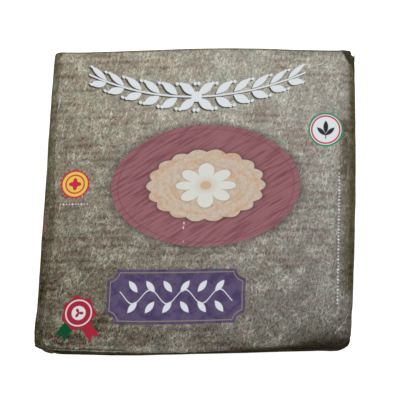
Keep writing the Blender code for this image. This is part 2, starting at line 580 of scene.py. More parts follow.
# What rises between two levels of a noise: the noise's size and detail, and the two levels
SMEARS = (1.0, 3.0, 0.38, 0.62)
BAND_PLACES = (0.050, 1.0, 0.34, 0.54)
WOOD_STREAKS = (1.0, 3.0, 0.42, 0.70)
TAN_STREAKS = (1.6, 2.0, 0.44, 0.68)
TAN_GRAIN = (0.0021, 3.0, 0.36, 0.66)
PLAQUE_CLOUDS = (0.006, 3.0, 0.40, 0.66)
PLAQUE_GRAIN = (0.0017, 2.0, 0.36, 0.66)
WORN_PATCHES = (0.0022, 2.0, 0.36, 0.62)


def mottled(vector, size, detail, low, high, **settings):
    """From 0 to 1, how far a noise has risen between two levels."""
    return smooth(cloudy(vector, size, detail, **settings), low, high)


# Fibres of the felt: length, width, the levels of a noise between which they come out, and where in
# the noise and how turned they start. Pale ones lie in six lots, with dark ones beside every other.
Fibre = namedtuple("Fibre", "length width low high lot turn")
PALE_FIBRE = Fibre(0.0060, 0.00085, 0.60, 0.80, 0, 0.0)
DARK_FIBRE = Fibre(0.0045, 0.0010, 0.60, 0.78, 9, 0.4)
LONG_FIBRE = Fibre(0.0170, 0.0009, 0.67, 0.76, 30, 1.35)
FLECK = Fibre(0.0035, 0.0007, 0.76, 0.82, 20, 1.5)
LOT_TURNS = (1.25, 0.15, 1.85, 0.72, 2.45, 1.55)
LOT_STEP = (0.043, 0.071)


def strands(sheet, fibre, lot=0, turn=0.0):
    """One lot of fibres, which lie one way."""
    start = (*(apart * (lot + fibre.lot) for apart in LOT_STEP), 0)
    laid = stretched(sheet, fibre.length, fibre.width, turn + fibre.turn, start)
    return mottled(laid, 1.0, 1.0, fibre.low, fibre.high, noise_dimensions="2D")


def rising(along, by, start, end):
    """What a measure has gained at a place: nothing at the start, and all of it at the end."""
    return by * smooth(along, start, end)


def between(along, first, second):
    """1 between two ends and 0 beyond them, where each end is a stretch from 0 to 1."""
    return smooth(along, *first) * smooth(along, *second)


def stepped(along, base, *steps):
    """A measure at a place, from its base and what it gains by each step."""
    total = base
    for step in steps:
        total = total + rising(along, *step)
    return total


# Fibres crowd in the light patches of the felt
CROWDING = (0.45, (0.75, 0.42, 0.62))


def fibres(bent, patch):
    """How much paler and how much darker the felt's fibres make it."""
    pale, dark = 0.0, 0.0
    for lot, turn in enumerate(LOT_TURNS):
        pale = pale + strands(bent, PALE_FIBRE, lot, turn)
        if lot % 2:
            dark = dark + strands(bent, DARK_FIBRE, lot, turn)
    return smaller(pale * stepped(patch, *CROWDING), 1.0), smaller(dark, 1.0)


# Hairs: the widths of the noise they follow and of the one that breaks them off, how near to its
# middle the first is on a hair, and from which level of the second to which a hair comes out
HAIR_NOISES = ((0.034, 0.021), (0.027, 0.017))
HAIR_HALF = 0.0060
HAIR_BREAKS = (0.54, 0.62)


def hairs(sheet):
    """Long thin pale hairs that wander over the felt and break off."""
    total = 0.0
    for drift, breaks in HAIR_NOISES:
        line = smooth(abs(cloudy(sheet, drift) - 0.5), HAIR_HALF, 0.0)
        total = larger(line * smooth(cloudy(sheet, breaks), *HAIR_BREAKS), total)
    return total


# The bands' pitch, how far they stray and how wide the noise is that they follow, the size of their
# smears, and what shows between two bands
BAND_PITCH = 0.0046
BAND_STRAY = 0.0014
STRAY_WIDTH = 0.03
BAND_SMEAR = (0.045, 0.0090)
BETWEEN_BANDS = 0.10


def bands(sheet, v):
    """Smudgy brown bands across the sheet, at a wavering pitch."""
    wave = v + BAND_STRAY * cloudy(sheet, STRAY_WIDTH)
    ridge = (wave * (2 * math.pi / BAND_PITCH)).through("SINE") * 0.5 + 0.5
    smear = mottled(stretched(sheet, *BAND_SMEAR), *SMEARS)
    where = mottled(sheet, *BAND_PLACES, noise_dimensions="2D")
    return smear * where * (BETWEEN_BANDS + (1 - BETWEEN_BANDS) * ridge)


# What wavers round 0: by how much, its noise's width, detail and dimensions
FINE_GRAIN = (60, 0.0017, 2.0, "2D")
SOFT_GRAIN = (47, 0.0046, 3.0, "3D")
WIDE_TINT = (20, 0.0090, 3.0, "2D")
FINE_TINT = (14, 0.0019, 1.0, "3D")
FINE_CAST = (30, 0.0030, 3.0, "4D")
WIDE_CAST = (9, 0.0130, 2.0, "4D")
EDGE_WAVER = (0.0052, 0.0036, 4.0, "3D")
CREASE_WAVER = (0.0010, 0.005, 2.0, "3D")


def wavering(vector, by, size, detail, dimensions):
    """A noise that wavers round 0."""
    return by * (cloudy(vector, size, detail, noise_dimensions=dimensions) - 0.5)


def unevenly(vector, least, more, size, detail):
    """A least amount and up to so much more, by a noise."""
    return least + more * cloudy(vector, size, detail)


# By how much of 255 each part of the felt changes its lightness, the noise of its patches, how its
# fibres are bent, and where the front edge is rubbed
PATCHES = 46
PATCH = (0.015, 4.0)
PALE_FIBRES = 46
DARK_FIBRES = 26
PALE_HAIRS = 30
DARK_BANDS = 27
PALE_RUBS = 30
FIBRE_BEND = 0.0007
BEND_SCALE = 160.0
RUBBED_FRONT = (-0.0880, -0.0945)
RUBBED_RUN = ((-0.088, -0.062), (0.012, -0.010))


def texture(sheet, bent, patch, band, u, v):
    """How much lighter its grain, fibres, hairs, bands and rubbed spot make the felt."""
    pale, dark = fibres(bent, patch)
    long = strands(sheet, LONG_FIBRE)
    rubbed = smooth(v, *RUBBED_FRONT) * between(u, *RUBBED_RUN)
    light = wavering(sheet, *FINE_GRAIN) + wavering(bent, *SOFT_GRAIN) + PATCHES * (patch - 0.5)
    light = light + PALE_FIBRES * pale - DARK_FIBRES * dark
    light = light + PALE_HAIRS * larger(hairs(sheet), long)
    return light - DARK_BANDS * band + PALE_RUBS * rubbed


# Painted highlights of soft folds that catch the light, on the unfolded sheet: from, to, reach and
# how much paler they are, and the share of that between the felt's patches and how much more it is
# in them
SOFT_FOLDS = (
    ((-0.0850, -0.0772), (-0.0580, -0.0885), 0.0048, 32),
    ((-0.0850, -0.0772), (-0.0760, -0.0805), 0.0052, 12),
    ((-0.0803, 0.0885), (-0.0787, 0.0500), 0.0034, 18),
)
FOLD_SHARES = (0.3, 1.4)

# The lightness of the top, in parts of 255, which paints the fall of the light over it: in the
# middle, what it gains to the back and the right and loses by both together, its painted glow along
# the middle, and the painted shade that darkens the corners
LEVEL = 129
LEVEL_BACK = 28
LEVEL_RIGHT = 10
LEVEL_TWIST = 5
GLOW = 15
GLOW_LOSS = 12.5
CORNER_LOSS = 11

# Half of the top, as these changes count it, and how far beyond that they go on
TOP_HALF = 0.09
PAST_TOP = 1.1

# What changes evenly over the top, in the middle and by how much to the right and the back: the
# texture's strength, the red its light parts lose, and the paper's red and blue beside its green
CONTRAST = (0.95, -0.06, 0.0)
FADE = (0.105, 0.014, 0.006)
RED_CAST = (5.4, -1.5, 0.0)
BLUE_CAST = (11.8, -3.6, 2.2)

# How much redder the bands and less blue the light parts are, the felt's darkest colour, and the
# power that turns a picture's levels into light
BAND_RED = 4
LIGHT_BLUE = 0.06
DARKEST = (0.05, 0.05, 0.05)
SCREEN_GAMMA = 2.2


def sloped(x, y, middle, right, back):
    """What changes evenly over the top, at a place there."""
    return middle + right * x + back * y


def felt(sheet, u, v):
    """The felt printed on the whole sheet, as its lightness in parts of 255 and then coloured, with
    painted light and shade over the top.
    """
    x = larger(smaller(u / TOP_HALF, PAST_TOP), -PAST_TOP)
    y = larger(smaller(v / TOP_HALF, PAST_TOP), -PAST_TOP)
    # Painted light: lighter to the back and right, a painted glow along the middle, painted shade
    # at the corners
    glow = (1 - y * y) * (GLOW - GLOW_LOSS * x * x)
    level = LEVEL + LEVEL_BACK * y + LEVEL_RIGHT * x - LEVEL_TWIST * x * y + glow
    level = level - CORNER_LOSS * x * x * y * y
    sockets = {"Vector": sheet, "Scale": BEND_SCALE, "Detail": 1.0}
    bent = moved(sheet, sheet.make("ShaderNodeTexNoise", {}, sockets, "Color"), FIBRE_BEND)
    patch = cloudy(sheet, *PATCH)
    band = bands(sheet, v)
    light = texture(sheet, bent, patch, band, u, v) * sloped(x, y, *CONTRAST)
    # Painted highlights along the soft folds
    for start, end, reach, paler in SOFT_FOLDS:
        near = smooth(distance_to(u, v, start, end), reach, 0.0)
        light = light + paler * near * (FOLD_SHARES[0] + FOLD_SHARES[1] * patch)
    tint = wavering(sheet, *WIDE_TINT) + wavering(sheet, *FINE_TINT)
    red = sloped(x, y, *RED_CAST) - sloped(x, y, *FADE) * light + tint + BAND_RED * band
    red = larger(red, 0.0)
    cast = wavering(sheet, *FINE_CAST) + wavering(sheet, *WIDE_CAST)
    blue = sloped(x, y, *BLUE_CAST) + LIGHT_BLUE * light + cast
    green = level + light - (red - blue) / 3
    shades = scaled(joined(green + red, green, green - blue), 1 / 255)
    shades = vectors("MAXIMUM", shades, DARKEST)
    colour = shades.make("ShaderNodeGamma", {}, {"Color": shades, "Gamma": SCREEN_GAMMA})
    return scaled(colour, 1 / LIGHT_ON_TOP), bent


def turned(x, y, turn):
    """A place seen along axes that are turned."""
    return (
        x * math.cos(turn) + y * math.sin(turn),
        y * math.cos(turn) - x * math.sin(turn),
    )


def leaf(x, y, middle_x, middle_y, turn, length, width):
    """How far outside a leaf with two pointed ends a place is."""
    along, across = turned(x - middle_x, y - middle_y, turn)
    run = along * (2 / length)
    return abs(across) - width / 2 * (1 - run * run)


# The garland: its middle, half its length, its sag, its size in the middle and how much smaller its
# ends are, its leaves' pitch, half its stem, its knot, and its berries: their size, how far before
# the next leaf and how far off the stem they are
Garland = namedtuple("Garland", "u v half sag full taper pitch stem knot berry before off")
GARLAND = Garland(
    -0.004, 0.0630, 0.070, 0.017, 1.12, 0.38, 0.0116, 0.00055, 0.0034, 0.0011, 0.0012, 0.0078
)
GARLAND_LEAF = (0.0, 0.0047, math.radians(36), 0.0125, 0.0050)
SHADOW_STEP = (-0.0009, -0.0008)


def garland(u, v):
    """How far outside the hanging white garland a place is: a stem with leaves on either side."""
    along = abs(u - GARLAND.u)
    share = along / GARLAND.half
    level = v - GARLAND.v - GARLAND.sag * share * share
    off = abs(level) / (GARLAND.full - GARLAND.taper * share)
    local = ((along / GARLAND.pitch).through("FRACT") - 0.5) * GARLAND.pitch
    leaves = leaf(local, off, *GARLAND_LEAF)
    stem = abs(level) - GARLAND.stem
    before = GARLAND.pitch / 2 - abs(local) - GARLAND.before
    berries = hypot(before, off - GARLAND.off) - GARLAND.berry
    shape = smaller(smaller(leaves, stem), berries)
    knot = hypot(along, level) - GARLAND.knot
    return smaller(larger(shape, along - GARLAND.half), knot)


def oval(u, v, middle, halves):
    """How far off an oval's middle a place is, the oval stretched to a circle, and its turn."""
    x = u - middle[0]
    y = (v - middle[1]) * (halves[0] / halves[1])
    return hypot(x, y), x.math("ARCTAN2", y, x)


# A layer of a round ornament: its ink and how much of it, its line's radius and half width, and the
# height and number of the waves along it. A disc is a line of radius 0.
Layer = namedtuple("Layer", "ink share radius half wave count", defaults=(0.0, 0.0))


def stamped(colour, u, v, middle, layers):
    """Prints a round ornament, layer over layer."""
    off, turn = oval(u, v, middle, (1.0, 1.0))
    for layer in layers:
        outside = abs(off - layer.radius) - layer.half
        if layer.count:
            outside = outside - layer.wave * (turn * layer.count).through("COSINE")
        colour = over(colour, layer.ink, layer.share * inked(outside))
    return colour


def lobes(turn, count):
    """1 in the middle of each lobe round a middle, and 0 between two."""
    return abs((turn * (count / 2)).through("COSINE"))


def shaded(colour, outside, shadow):
    """Lays a printed shadow round a shape: how dark it is, and how far out it ends and starts."""
    return over(colour, SHADOW_INK, rising(outside, *shadow))


# What the grain of large fields of ink multiplies them by
INK_GRAIN = (0.86, 0.85, 0.84, 1.0)


def speckled(ink, sheet, grain):
    """An ink with a grain."""
    return darker(ink, INK_GRAIN, mottled(sheet, *grain))


# The medallion: its middle, half sizes, shadow and rim, and the size and turn of its wood's streaks
MEDALLION_AT = (0.004, 0.006)
MEDALLION = (0.0600, 0.0385)
MEDALLION_SHADOW = (0.55, 0.0062, -0.0010)
MEDALLION_RIM = (0.0558, 0.0003)
WOOD_STREAK = (0.020, 0.0016, 0.55)

# The dish on it: its half sizes, its scallops, its share between two of them and how much more at
# their middles, its shadow, and how often its warmer streaks come outwards and round
DISH = (0.0370, 0.0225)
DISH_SCALLOPS = 18
DISH_SHARES = (0.94, 0.08)
DISH_SHADOW = (0.5, 0.0040, -0.0010)
DISH_STREAK = (420.0, 2.2)

# The flower on the dish, given in the same way, with its petals' power, how much wider than high it
# is, how tan its middle is from where to where, and its heart
FLOWER = 0.0190
FLOWER_PETALS = 8
FLOWER_SHARES = (0.42, 0.58)
FLOWER_POWER = 0.55
FLOWER_SQUASH = 1.35
FLOWER_SHADOW = (0.28, 0.0026, -0.0010)
FLOWER_TAN = (0.55, 0.0100, 0.0035)
FLOWER_HEART = 0.0036


def medallion(colour, sheet, u, v):
    """An oval maroon medallion with a scalloped tan dish and a cream flower, each with a shadow."""
    off, _ = oval(u, v, MEDALLION_AT, MEDALLION)
    colour = shaded(colour, off - MEDALLION[0], MEDALLION_SHADOW)
    wood = over(MAROON, MAROON_DEEP, mottled(stretched(sheet, *WOOD_STREAK), *WOOD_STREAKS))
    colour = over(colour, wood, inked(off - MEDALLION[0]))
    rim = abs(off - MEDALLION_RIM[0]) - MEDALLION_RIM[1]
    colour = over(colour, MAROON_DEEP, RIM_INK * inked(rim))
    off, turn = oval(u, v, MEDALLION_AT, DISH)
    edge = off - DISH[0] * (DISH_SHARES[0] + DISH_SHARES[1] * lobes(turn, DISH_SCALLOPS))
    colour = shaded(colour, edge, DISH_SHADOW)
    spread = joined(off * DISH_STREAK[0], turn * DISH_STREAK[1], 0.0)
    tan = over(TAN, TAN_WARM, mottled(spread, *TAN_STREAKS))
    colour = over(colour, speckled(tan, sheet, TAN_GRAIN), inked(edge))
    reach = hypot(u - MEDALLION_AT[0], (v - MEDALLION_AT[1]) * FLOWER_SQUASH)
    petals = FLOWER_SHARES[0] + FLOWER_SHARES[1] * lobes(turn, FLOWER_PETALS) ** FLOWER_POWER
    flower = reach - FLOWER * petals
    colour = shaded(colour, flower, FLOWER_SHADOW)
    cream = over(CREAM, TAN, rising(reach, *FLOWER_TAN))
    colour = over(colour, cream, inked(flower))
    return over(colour, TAN_WARM, inked(reach - FLOWER_HEART))


# The plaque: its middle, half sizes, scooped corners, and its gold line: how far in, half its width
PLAQUE_AT = (-0.012, -0.0625)
PLAQUE = (0.0430, 0.0165)
PLAQUE_NOTCH = 0.0060
PLAQUE_LINE = (0.0019, 0.00028)

# The vine along it: how far and how long it swings, half its stem's width and length, a leaf, and
# how many pairs of leaves lie on either side of the middle, one to every half swing
VINE_SWING = 0.0042
VINE_PITCH = 0.0215
VINE_STEM = (0.00040, 0.0350)
VINE_LEAF = (0.0, 0.0062, 0.9, 0.0088, 0.0036)
VINE_LEAVES = 3


def plaque(colour, sheet, u, v):
    """A purple plaque with scooped corners, a thin gold line inside and a pale vine along it."""
    run, rise = u - PLAQUE_AT[0], v - PLAQUE_AT[1]
    x, y = abs(run), abs(rise)
    box = larger(x - PLAQUE[0], y - PLAQUE[1])
    edge = larger(box, PLAQUE_NOTCH - hypot(x - PLAQUE[0], y - PLAQUE[1]))
    ink = over(PURPLE, PURPLE_DEEP, mottled(sheet, *PLAQUE_CLOUDS))
    colour = over(colour, speckled(ink, sheet, PLAQUE_GRAIN), PLAQUE_INK * inked(edge))
    colour = over(colour, GOLD, inked(abs(edge + PLAQUE_LINE[0]) - PLAQUE_LINE[1]))
    swing = VINE_SWING * (run * (2 * math.pi / VINE_PITCH)).through("SINE")
    stem = larger(abs(rise - swing) - VINE_STEM[0], x - VINE_STEM[1])
    pitch = VINE_PITCH / 2
    local = ((x / pitch).through("FRACT") - 0.5) * pitch
    leaves = larger(leaf(local, y, *VINE_LEAF), x - VINE_LEAVES * pitch)
    return over(colour, WHITE_INK, VINE_INK * inked(smaller(stem, leaves)))


# A row of diamonds: its middle, half its length, its pitch and half a diamond. The count along it
# starts this far to the left, so that it is never negative.
Row = namedtuple("Row", "u v half pitch dot")
SIDE_ROW = Row(0.0885, -0.0280, 0.0420, 0.0021, 0.00055)
SUN_ROW = Row(-0.0790, -0.0050, 0.0090, 0.0019, 0.00055)
COUNT_START = 40.0


def dotted(colour, x, y, row):
    """A row of tiny white diamonds along x, of which every third is larger."""
    count = x / row.pitch + COUNT_START
    third = (count.through("FLOOR") / 3).through("FRACT") < 0.1
    mark = abs(count.through("FRACT") - 0.5) * row.pitch + abs(y) - row.dot * (1 + 0.5 * third)
    return over(colour, WHITE_INK, DIAMOND_INK * inked(larger(mark, abs(x) - row.half)))


# A yellow sun with a red saw edge, a red ring and a red heart
SUN_AT = (-0.0790, 0.0080)
SUN = (
    Layer(RED, 1.0, 0.0, 0.0092, 0.0004, 22.0),
    Layer(YELLOW, 1.0, 0.0, 0.0080),
    Layer(RED, 1.0, 0.0058, 0.00045),
    Layer(RED, 1.0, 0.0, 0.0031, 0.0009, 4.0),
)

# A white badge with a green and a red ring round a sprig of three leaves. The sprig's stem is given
# by half its width, its middle and half its length.
BADGE_AT = (0.0795, 0.0420)
BADGE = (
    Layer(GREEN, 1.0, 0.0, 0.0112),
    Layer(WHITE_INK, 1.0, 0.0, 0.0101),
    Layer(RED, 1.0, 0.0090, 0.0005),
)
SPRIG_TOP = (0.0, 0.0018, math.radians(90), 0.0086, 0.0032)
SPRIG_SIDE = (0.0028, -0.0012, 0.75, 0.0078, 0.0028)
SPRIG_STEM = (0.0003, -0.0026, 0.0034)

# A wax seal with two ribbon ends: their turns and inks, half their width, their length and how deep
# their notches are
WAX_AT = (-0.0715, -0.0730)
WAX = (
    Layer(WAX_RED, 1.0, 0.0, 0.0100, 0.0007, 7.0),
    Layer(WHITE_INK, 0.9, 0.0078, 0.0004),
    Layer(WHITE_INK, 0.9, 0.0, 0.0043),
    Layer(WAX_RED, 1.0, 0.0, 0.0018, 0.0012, 3.0),
)
RIBBONS = ((-2.15, RIBBON_GREEN), (-0.95, WAX_RED))
RIBBON_HALF = 0.0034
RIBBON_LENGTH = 0.0165
RIBBON_NOTCH = 0.8


def sprig(colour, u, v):
    """The badge's sprig of three leaves."""
    x, y = abs(u - BADGE_AT[0]), v - BADGE_AT[1]
    half_width, middle, half_length = SPRIG_STEM
    stem = larger(x - half_width, abs(y - middle) - half_length)
    leaves = smaller(leaf(x, y, *SPRIG_TOP), leaf(x, y, *SPRIG_SIDE))
    return over(colour, CHARCOAL, inked(smaller(leaves, stem)))


def ribbons(colour, u, v):
    """The ribbon ends under the wax seal."""
    for turn, ink in RIBBONS:
        x, y = turned(u - WAX_AT[0], v - WAX_AT[1], turn)
        end = x - (RIBBON_LENGTH + abs(y) * RIBBON_NOTCH)
        colour = over(colour, ink, inked(larger(larger(abs(y) - RIBBON_HALF, end), -x)))
    return colour


# The plain fields of the sides, by their middle and half sizes: a navy oval on the front, and a
# dull red block with cut corners on the left end
FRONT_FIELD_AT = (-0.0510, -0.1260)
FRONT_FIELD = (0.0110, 0.0080)
END_FIELD_AT = (-0.1145, -0.0165)
END_FIELD = (0.0143, 0.0110)
END_FIELD_CUT = 0.0050


def side_fields(colour, u, v):
    """Plain fields of colour on the sides of the pack."""
    off, _ = oval(u, v, FRONT_FIELD_AT, FRONT_FIELD)
    colour = over(colour, NAVY, inked(off - FRONT_FIELD[0]))
    x = abs(u - END_FIELD_AT[0]) - END_FIELD[0]
    y = abs(v - END_FIELD_AT[1]) - END_FIELD[1]
    return over(colour, ROSE, inked(larger(larger(x, y), x + y + END_FIELD_CUT)))


# What the paper's colour is multiplied by in its painted shade, and in the brown strip of the right
# edge
EDGE_SHADE = (0.315, 0.322, 0.235, 1.0)
RIGHT_SHADE = (0.375, 0.345, 0.250, 1.0)
STRIP_SHADE = (0.375, 0.330, 0.270, 1.0)
OUTER_SHADE = (0.84, 0.84, 0.74, 1.0)
FACE_SHADE = (0.70, 0.68, 0.60, 1.0)
CREASE_SHADE = (0.16, 0.15, 0.12, 1.0)
FRONT_SHADE = (0.28, 0.265, 0.210, 1.0)

# The painted shade along the edges of the top: how blotchy it is, how far in it reaches and how
# dark it is from back to front, where it is darkest, and how dark the back one is from where to
# where
EDGE_BLOTCHES = (0.75, 0.50, 0.0022, 2.0)
LEFT_REACH = (0.0054, (0.0030, 0.030, -0.003), (-0.0038, -0.044, -0.056))
LEFT_DARK = (0.64, (0.05, 0.042, 0.028), (-0.09, 0.006, -0.006), (-0.29, -0.028, -0.050))
LEFT_DARKEST = 0.60
RIGHT_REACH = (0.0070, (-0.0023, 0.055, 0.010), (-0.0022, -0.020, -0.050))
RIGHT_DARK = (0.12, (0.88, -0.067, -0.058))
RIGHT_DARKEST = 0.0002
BACK_EDGE = (0.88, 0.0038, 0.0006)

# The brown strip of the right edge and the wide olive painted shade that takes over from it: how
# far in they come, where they run, the strip's blotches, and how much the other edges' shade hides
# it
STRIP_INSIDE = (0.0100, 0.0086)
STRIP_RUN = ((0.0505, 0.0480), (0.0080, 0.0140))
STRIP_BLOTCHES = (0.35, 1.15, 0.0036, 3.0)
STRIP_HIDDEN = 0.75
WIDE_EDGE = (0.78, 0.0165, 0.0010)
WIDE_RUN = ((0.0140, 0.0080), (-0.067, -0.058))

# Painted shade in the back right corner, cut off across, and before the front right corner
CORNER_CUT = (0.1822, 0.1842)
CORNER_RIGHT = (0.0896, 0.0922)
CORNER_OLIVE = 0.9
CORNER_BROWN = 0.80
GLOOM = (0.55, 0.0220, 0.0060)
GLOOM_RIGHT = (0.040, 0.078)

# Where the left edge's olive shade turns into the right one's, where painted shade darkens the
# ends' rounding a little, and where the painted shade of the sides takes over from the edges, how
# dark it is and where it stops at the front
OLIVE_TURN = (0.0, 0.08)
OUTER_START = (0.0, -0.0028)
SIDE_START = (0.0040, 0.0085)
SIDE_DARK = (0.70, -0.0060, 0.0)

# The painted shade of the front, from left to right: how far it comes up onto the top, where it is
# darkest, where the face below starts, and how both fade on the tucks
FRONT_REACH = (0.0003, (0.0038, 0.012, 0.030), (0.0070, 0.055, 0.082))
FRONT_SHARES = (1.15, 0.20)
FRONT_PAST = 0.0010
FACE_START = (0.0, -0.0014)
LEFT_TUCK = (0.15, (0.85, -0.0930, -0.0845))
RIGHT_TUCK = (1.0, (-0.70, 0.0990, 0.1180))


def painted_top_edge_shade(sheet, left, right, back, v):
    """How dark the painted shade along the left, right and back edges of the top is, and how
    blotchy.
    """
    blotch = unevenly(sheet, *EDGE_BLOTCHES)
    reach = stepped(v, *LEFT_REACH)
    edge = stepped(v, *LEFT_DARK) * smooth(left, reach, reach * LEFT_DARKEST)
    narrow = smooth(right, stepped(v, *RIGHT_REACH), RIGHT_DARKEST) * stepped(v, *RIGHT_DARK)
    wide = rising(right, *WIDE_EDGE) * between(v, *WIDE_RUN)
    edge = larger(edge, larger(narrow, wide)) * blotch
    return larger(edge, rising(back, *BACK_EDGE)), blotch


def painted_edge_shade(colour, sheet, u, v):
    """Painted shade darkens the paper to olive at the top's edges and sides, near black on the
    front.
    """
    uneven = wavering(sheet, *EDGE_WAVER)
    left, right = u + WIDTH / 2 + uneven, WIDTH / 2 - u + uneven
    back, front = DEPTH / 2 - v + uneven, v + DEPTH / 2 + uneven
    edge, blotch = painted_top_edge_shade(sheet, left, right, back, v)
    corner = smooth(u + v + uneven / 2, *CORNER_CUT) * smooth(u, *CORNER_RIGHT)
    gloom = rising(front, *GLOOM) * smooth(u, *GLOOM_RIGHT)
    edge = larger(larger(edge, gloom), CORNER_OLIVE * corner)
    side = smooth(larger(abs(u) - WIDTH / 2, abs(v) - DEPTH / 2), *SIDE_START)
    edge = edge * (1 - side) + side * rising(front, *SIDE_DARK)
    corner = CORNER_BROWN * blotch * corner * (1 - side)
    strip = smooth(right, *STRIP_INSIDE) * between(v, *STRIP_RUN) * (1 - STRIP_HIDDEN * edge)
    strip = strip * unevenly(sheet, *STRIP_BLOTCHES)
    colour = darker(colour, STRIP_SHADE, larger(corner, strip))
    colour = darker(colour, over(EDGE_SHADE, RIGHT_SHADE, smooth(u, *OLIVE_TURN)), edge)
    colour = darker(colour, OUTER_SHADE, smooth(smaller(left, right), *OUTER_START))
    reach = stepped(u, *FRONT_REACH)
    first, last = (reach * share for share in FRONT_SHARES)
    inside = stepped(u, *LEFT_TUCK) * stepped(u, *RIGHT_TUCK)
    colour = darker(colour, FRONT_SHADE, inside * smooth(front, first, last - FRONT_PAST))
    return darker(colour, FACE_SHADE, inside * smooth(front, *FACE_START))


# Chips of ink along a faint fold in the middle: their place, how much has come off, how far each
# reaches and how far it is bare, and how narrow it is
CHIPS = (
    (-0.0082, -0.0089, 0.75), (-0.0113, -0.0111, 0.45), (-0.0089, -0.0177, 1.0),
    (-0.0091, -0.0206, 1.0), (-0.0088, -0.0292, 0.35),
)
CHIP_HALF = 0.0013
CHIP_BARE = 0.00052
CHIP_NARROW = 2.0


def chipped(colour, u, v):
    """Specks where the ink has come off."""
    for across, along, share in CHIPS:
        away = hypot(CHIP_NARROW * (u - across), v - along)
        colour = over(colour, CHIPPED, share * smooth(away, CHIP_HALF, CHIP_BARE))
    return colour


# The wear of a flap's folded edge, how far inside the fold it is, its reach and where it starts
FOLD_WEAR = 0.30
FOLD_INSIDE = 0.0012
FOLD_ACROSS = (0.0010, 0.0002)
FOLD_BELOW = (0.0030, 0.0060)


def worn(colour, sheet, bent, u, v, depth):
    """Painted shade in dark creases; ink rubbed off along pale ones and the flaps' folded edges."""
    jitter = wavering(sheet, *CREASE_WAVER)
    patchy = mottled(bent, *WORN_PATCHES)
    u, v = u + jitter, v - jitter
    # The dark creases are painted shade
    colour = darker(colour, CREASE_SHADE, creased(u, v, lambda wear: -wear))
    fold = abs(DEPTH / 2 - depth - abs(v) - FOLD_INSIDE)
    fold = FOLD_WEAR * smooth(fold, *FOLD_ACROSS) * smooth(depth, *FOLD_BELOW)
    rubbed = larger(creased(u, v, lambda wear: wear), fold) * patchy
    return over(colour, WORN, rubbed)


# The paper's finish: its uneven roughness, and its fine bumps by their widths, strength and height
ROUGHNESS = (0.50, 0.14, 0.006, 3.0)
FIBRE_BUMP = 0.0011
PAPER_BUMP = 0.007
BUMP_STRENGTH = 0.35
BUMP_HEIGHT = 0.0004


def paper():
    """The wrap's material."""
    material = bpy.data.materials.new("printed_paper")
    material.use_nodes = True
    tree = material.node_tree
    tree.nodes.clear()
    start = Value(tree)
    sheet = start.make("ShaderNodeAttribute", {"attribute_name": "sheet"}, {}, "Vector")
    place = start.make("ShaderNodeAttribute", {"attribute_name": "place"}, {}, "Vector")
    u, v, depth = parted(sheet)
    colour, bent = felt(sheet, u, v)
    colour = over(colour, WORN, FLECK_INK * strands(sheet, FLECK))
    colour = side_fields(colour, u, v)
    # Painted shade on the edges of the top, the sides and the front
    colour = painted_edge_shade(colour, sheet, u, v)
    colour = medallion(colour, sheet, u, v)
    colour = plaque(colour, sheet, u, v)
    colour = stamped(colour, u, v, SUN_AT, SUN)
    colour = sprig(stamped(colour, u, v, BADGE_AT, BADGE), u, v)
    colour = dotted(colour, v - SIDE_ROW.v, u - SIDE_ROW.u, SIDE_ROW)
    colour = dotted(colour, u - SUN_ROW.u, v - SUN_ROW.v, SUN_ROW)
    colour = stamped(ribbons(colour, u, v), u, v, WAX_AT, WAX)
    shadow = inked(garland(u - SHADOW_STEP[0], v - SHADOW_STEP[1]))
    colour = over(colour, SHADOW_INK, DROP_SHADOW_INK * shadow)
    colour = over(colour, WHITE_INK, inked(garland(u, v)))
    colour = chipped(colour, u, v)
    colour = worn(colour, sheet, bent, u, v, depth)
    rough = unevenly(sheet, *ROUGHNESS)
    height = cloudy(bent, FIBRE_BUMP, 2.0) * 0.5 + cloudy(place, PAPER_BUMP, 2.0)
    bumps = {"Strength": BUMP_STRENGTH, "Distance": BUMP_HEIGHT, "Height": height}
    bump = start.make("ShaderNodeBump", {}, bumps)
    finish = {"Base Color": colour, "Roughness": rough, "Normal": bump, "Specular IOR Level": 0.0}
    shader = start.make("ShaderNodeBsdfPrincipled", {}, finish)
    start.make("ShaderNodeOutputMaterial", {}, {"Surface": shader})
    return material


printed_paper = paper()
wrap = grown("wrap", wrap_tree(printed_paper), BLOCK_SIZES)


# The folded ends
# At each end the sheet comes down from the top as a flap over two tucks. The edges of the flap are
# folded at 45 degrees from corner to corner, and it turns in under the base to a blunt tip.

FLAP_SIZES = {
    **BLOCK_SIZES,
    "Side": 1.0,
    "Under": 0.034,
    "Lift": 0.0010,
    "Start": 0.0025,
    "Sunk": 0.0002,
}

# How finely a flap is cut, how thick it is, how far in from the fold its edge lies, where it stands
# clear of the tucks, how far in from its edge and how unevenly, and where its relief ends
FLAP_ROWS = 110
FLAP_ACROSS = 150
FLAP_THICKNESS = 0.00035
FLAP_INSET = 0.0008
FLAP_CLEAR = 0.0100
FLAP_EDGE = 0.0060
FLAP_EDGE_SHARE = 0.55
FLAP_UNEVEN = 0.6
FLAP_UNEVEN_WIDTH = 0.015
FLAP_PRESSED = (0.002, 0.0)

# The ear of the right flap, where the fold at the back stands out
EAR_REACH = 0.0040
EAR_START = 0.0030
EAR_EDGE = 0.0009


def ear(at, halves, size):
    """How far the corner of the right flap stands out at the back."""
    depth = halves[2] - at[2]
    edge = smooth(halves[1] - abs(at[1]) - depth, 0.0, EAR_EDGE)
    on_end = (at[0] > halves[0] - ON_FACE) * (at[1] > 0.0)
    away = hypot(halves[1] - at[1] - EAR_START, depth - EAR_START) / EAR_REACH
    return size["Ear"] * bell(away) * smooth(depth, 0.0, EAR_START) * edge * on_end


